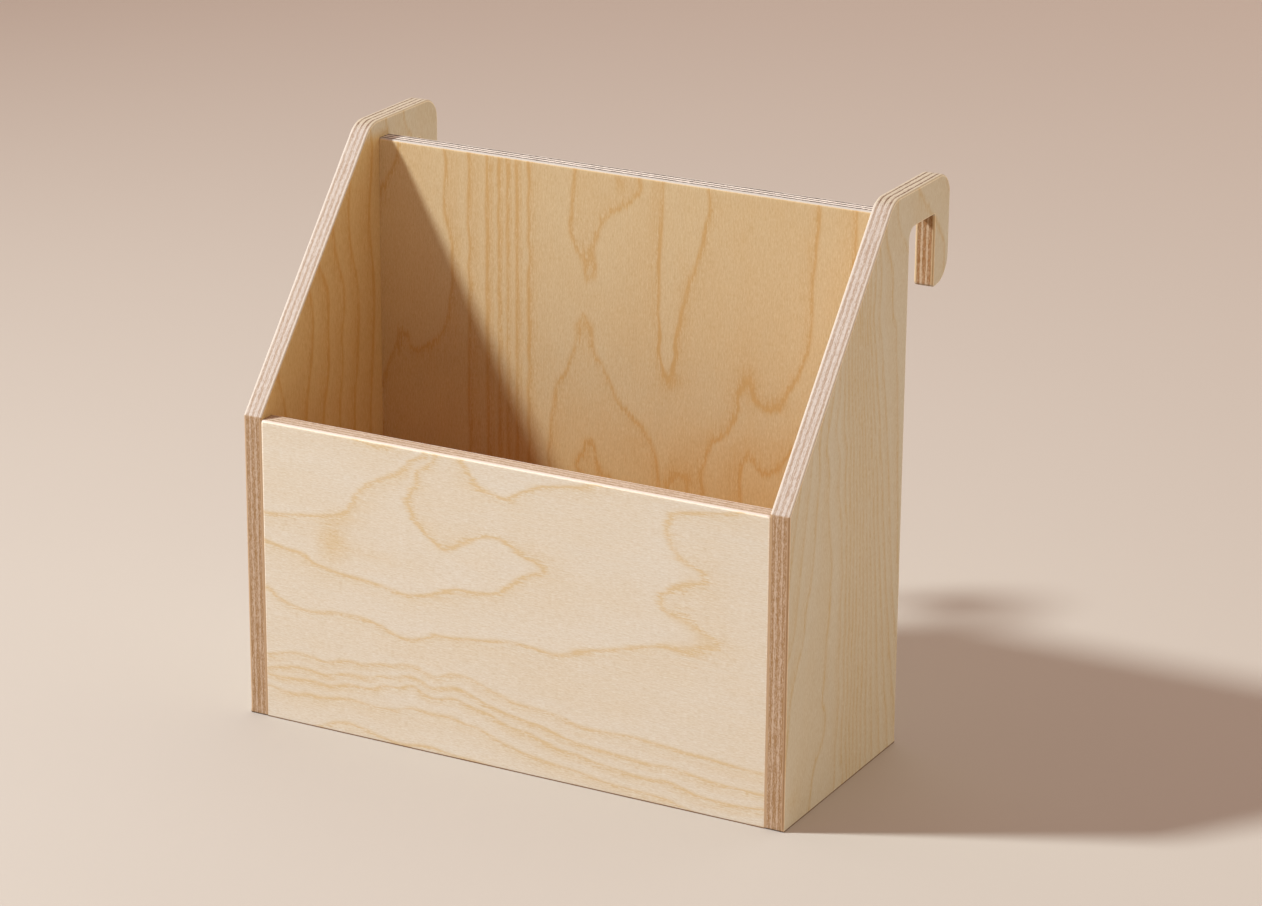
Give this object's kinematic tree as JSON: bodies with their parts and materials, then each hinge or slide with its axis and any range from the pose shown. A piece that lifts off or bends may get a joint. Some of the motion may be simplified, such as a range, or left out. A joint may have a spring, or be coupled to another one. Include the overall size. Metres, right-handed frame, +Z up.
{
  "type": "wooden book rack",
  "caption": "Small open plywood bin for books, with a low front, sloping sides and hooks at the top rear that hang over a board or rail.",
  "frame": {"origin": "middle of the footprint over both boards and hooks, on the surface that the rack stands on", "axes": "+X across the width to the right side board, +Y from the open front to the hooks, +Z up"},
  "size_m": [0.26, 0.148, 0.246],
  "materials": {
    "side_plywood": "birch plywood, upright grain, matt clear lacquer",
    "front_plywood": "birch plywood, level grain, matt clear lacquer",
    "back_plywood": "birch plywood, upright grain, matt clear lacquer",
    "floor_plywood": "birch plywood, matt clear lacquer",
    "dowel_wood": "grooved beech dowel, raw"
  },
  "bodies": {
    "root": {"side_left": "side_plywood", "side_right": "side_plywood", "front_panel": "front_plywood", "back_panel": "back_plywood", "bottom_panel": "floor_plywood", "dowels_front_left": "dowel_wood", "dowels_front_right": "dowel_wood", "dowels_back_left": "dowel_wood", "dowels_back_right": "dowel_wood", "dowels_bottom_left": "dowel_wood", "dowels_bottom_right": "dowel_wood", "dowels_bottom_front": "dowel_wood", "dowels_bottom_back": "dowel_wood"}
  },
  "joints": []
}
